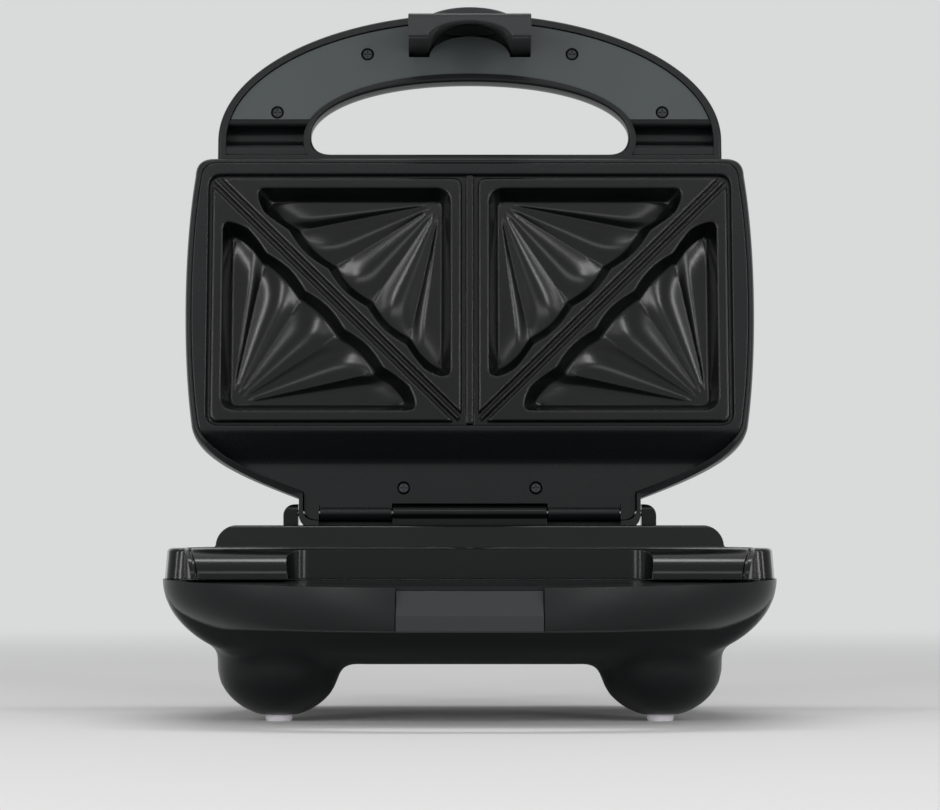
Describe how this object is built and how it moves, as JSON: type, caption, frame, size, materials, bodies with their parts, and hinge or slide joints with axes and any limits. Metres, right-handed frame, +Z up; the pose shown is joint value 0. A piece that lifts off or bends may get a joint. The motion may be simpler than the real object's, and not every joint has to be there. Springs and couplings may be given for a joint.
{
  "type": "sandwich toaster",
  "caption": "Open hinged sandwich toaster with shell-ribbed triangular pockets, looped front handles, a spring latch and rounded feet.",
  "frame": {"origin": "on the table under the centre of the bounding box", "axes": "+Z up from the table, -Y towards the user (the side with the catch), +X to the user's right"},
  "size_m": [0.2536, 0.2622, 0.3172],
  "materials": {
    "cover_plastic": "satin moulded black",
    "frame_plastic": "glossy moulded black",
    "panel_plastic": "matt moulded dark grey",
    "coated_plate": "dark non-stick coating, satin",
    "heater_steel": "dark oxidised tube",
    "tinned_sheet": "bright coated sheet",
    "foot_rubber": "matt light grey",
    "gland_rubber": "matt black",
    "insulator": "matt off-white",
    "red_lens": "clear red",
    "green_lens": "clear green",
    "fastener_steel": "plain plated steel"
  },
  "bodies": {
    "base": {"lower_housing": "cover_plastic", "base_top_frame": "frame_plastic", "lower_cooking_plate": "coated_plate", "lower_heating_element": "heater_steel", "lower_heat_reflector": "tinned_sheet", "latch_catch": "cover_plastic", "cord_gland": "gland_rubber", "hinge_pin": "fastener_steel", "thermostat": "insulator", "terminal_block": "insulator", "rubber_foot_1": "foot_rubber", "rubber_foot_2": "foot_rubber", "rubber_foot_3": "foot_rubber", "rubber_foot_4": "foot_rubber", "housing_screw_1": "fastener_steel", "housing_screw_2": "fastener_steel", "housing_screw_3": "fastener_steel", "housing_screw_4": "fastener_steel"},
    "lid": {"lid_cover": "cover_plastic", "lid_frame": "frame_plastic", "handle_panel": "panel_plastic", "upper_cooking_plate": "coated_plate", "upper_heating_element": "heater_steel", "upper_heat_reflector": "tinned_sheet", "power_light_lens": "red_lens", "ready_light_lens": "green_lens", "thermal_fuse": "insulator", "handle_screw_1": "fastener_steel", "handle_screw_2": "fastener_steel", "handle_screw_3": "fastener_steel", "handle_screw_4": "fastener_steel", "hinge_screw_1": "fastener_steel", "hinge_screw_2": "fastener_steel", "latch_pin": "fastener_steel", "latch_spring": "fastener_steel"},
    "latch": {"latch_hook": "frame_plastic", "latch_thumb_tab": "panel_plastic"}
  },
  "joints": [
    {"name": "lid_hinge", "type": "hinge", "parent": "base", "child": "lid", "pos_m": [0, 0.07735, 0.086], "axis": [1, 0, 0], "range_deg": [0, 100]},
    {"name": "latch_pivot", "type": "hinge", "parent": "lid", "child": "latch", "pos_m": [0, 0.12369, 0.30275], "axis": [-1, 0, 0], "range_deg": [0, 12], "stiffness_Nm_per_rad": 0.1, "springref_deg": -22.92}
  ]
}
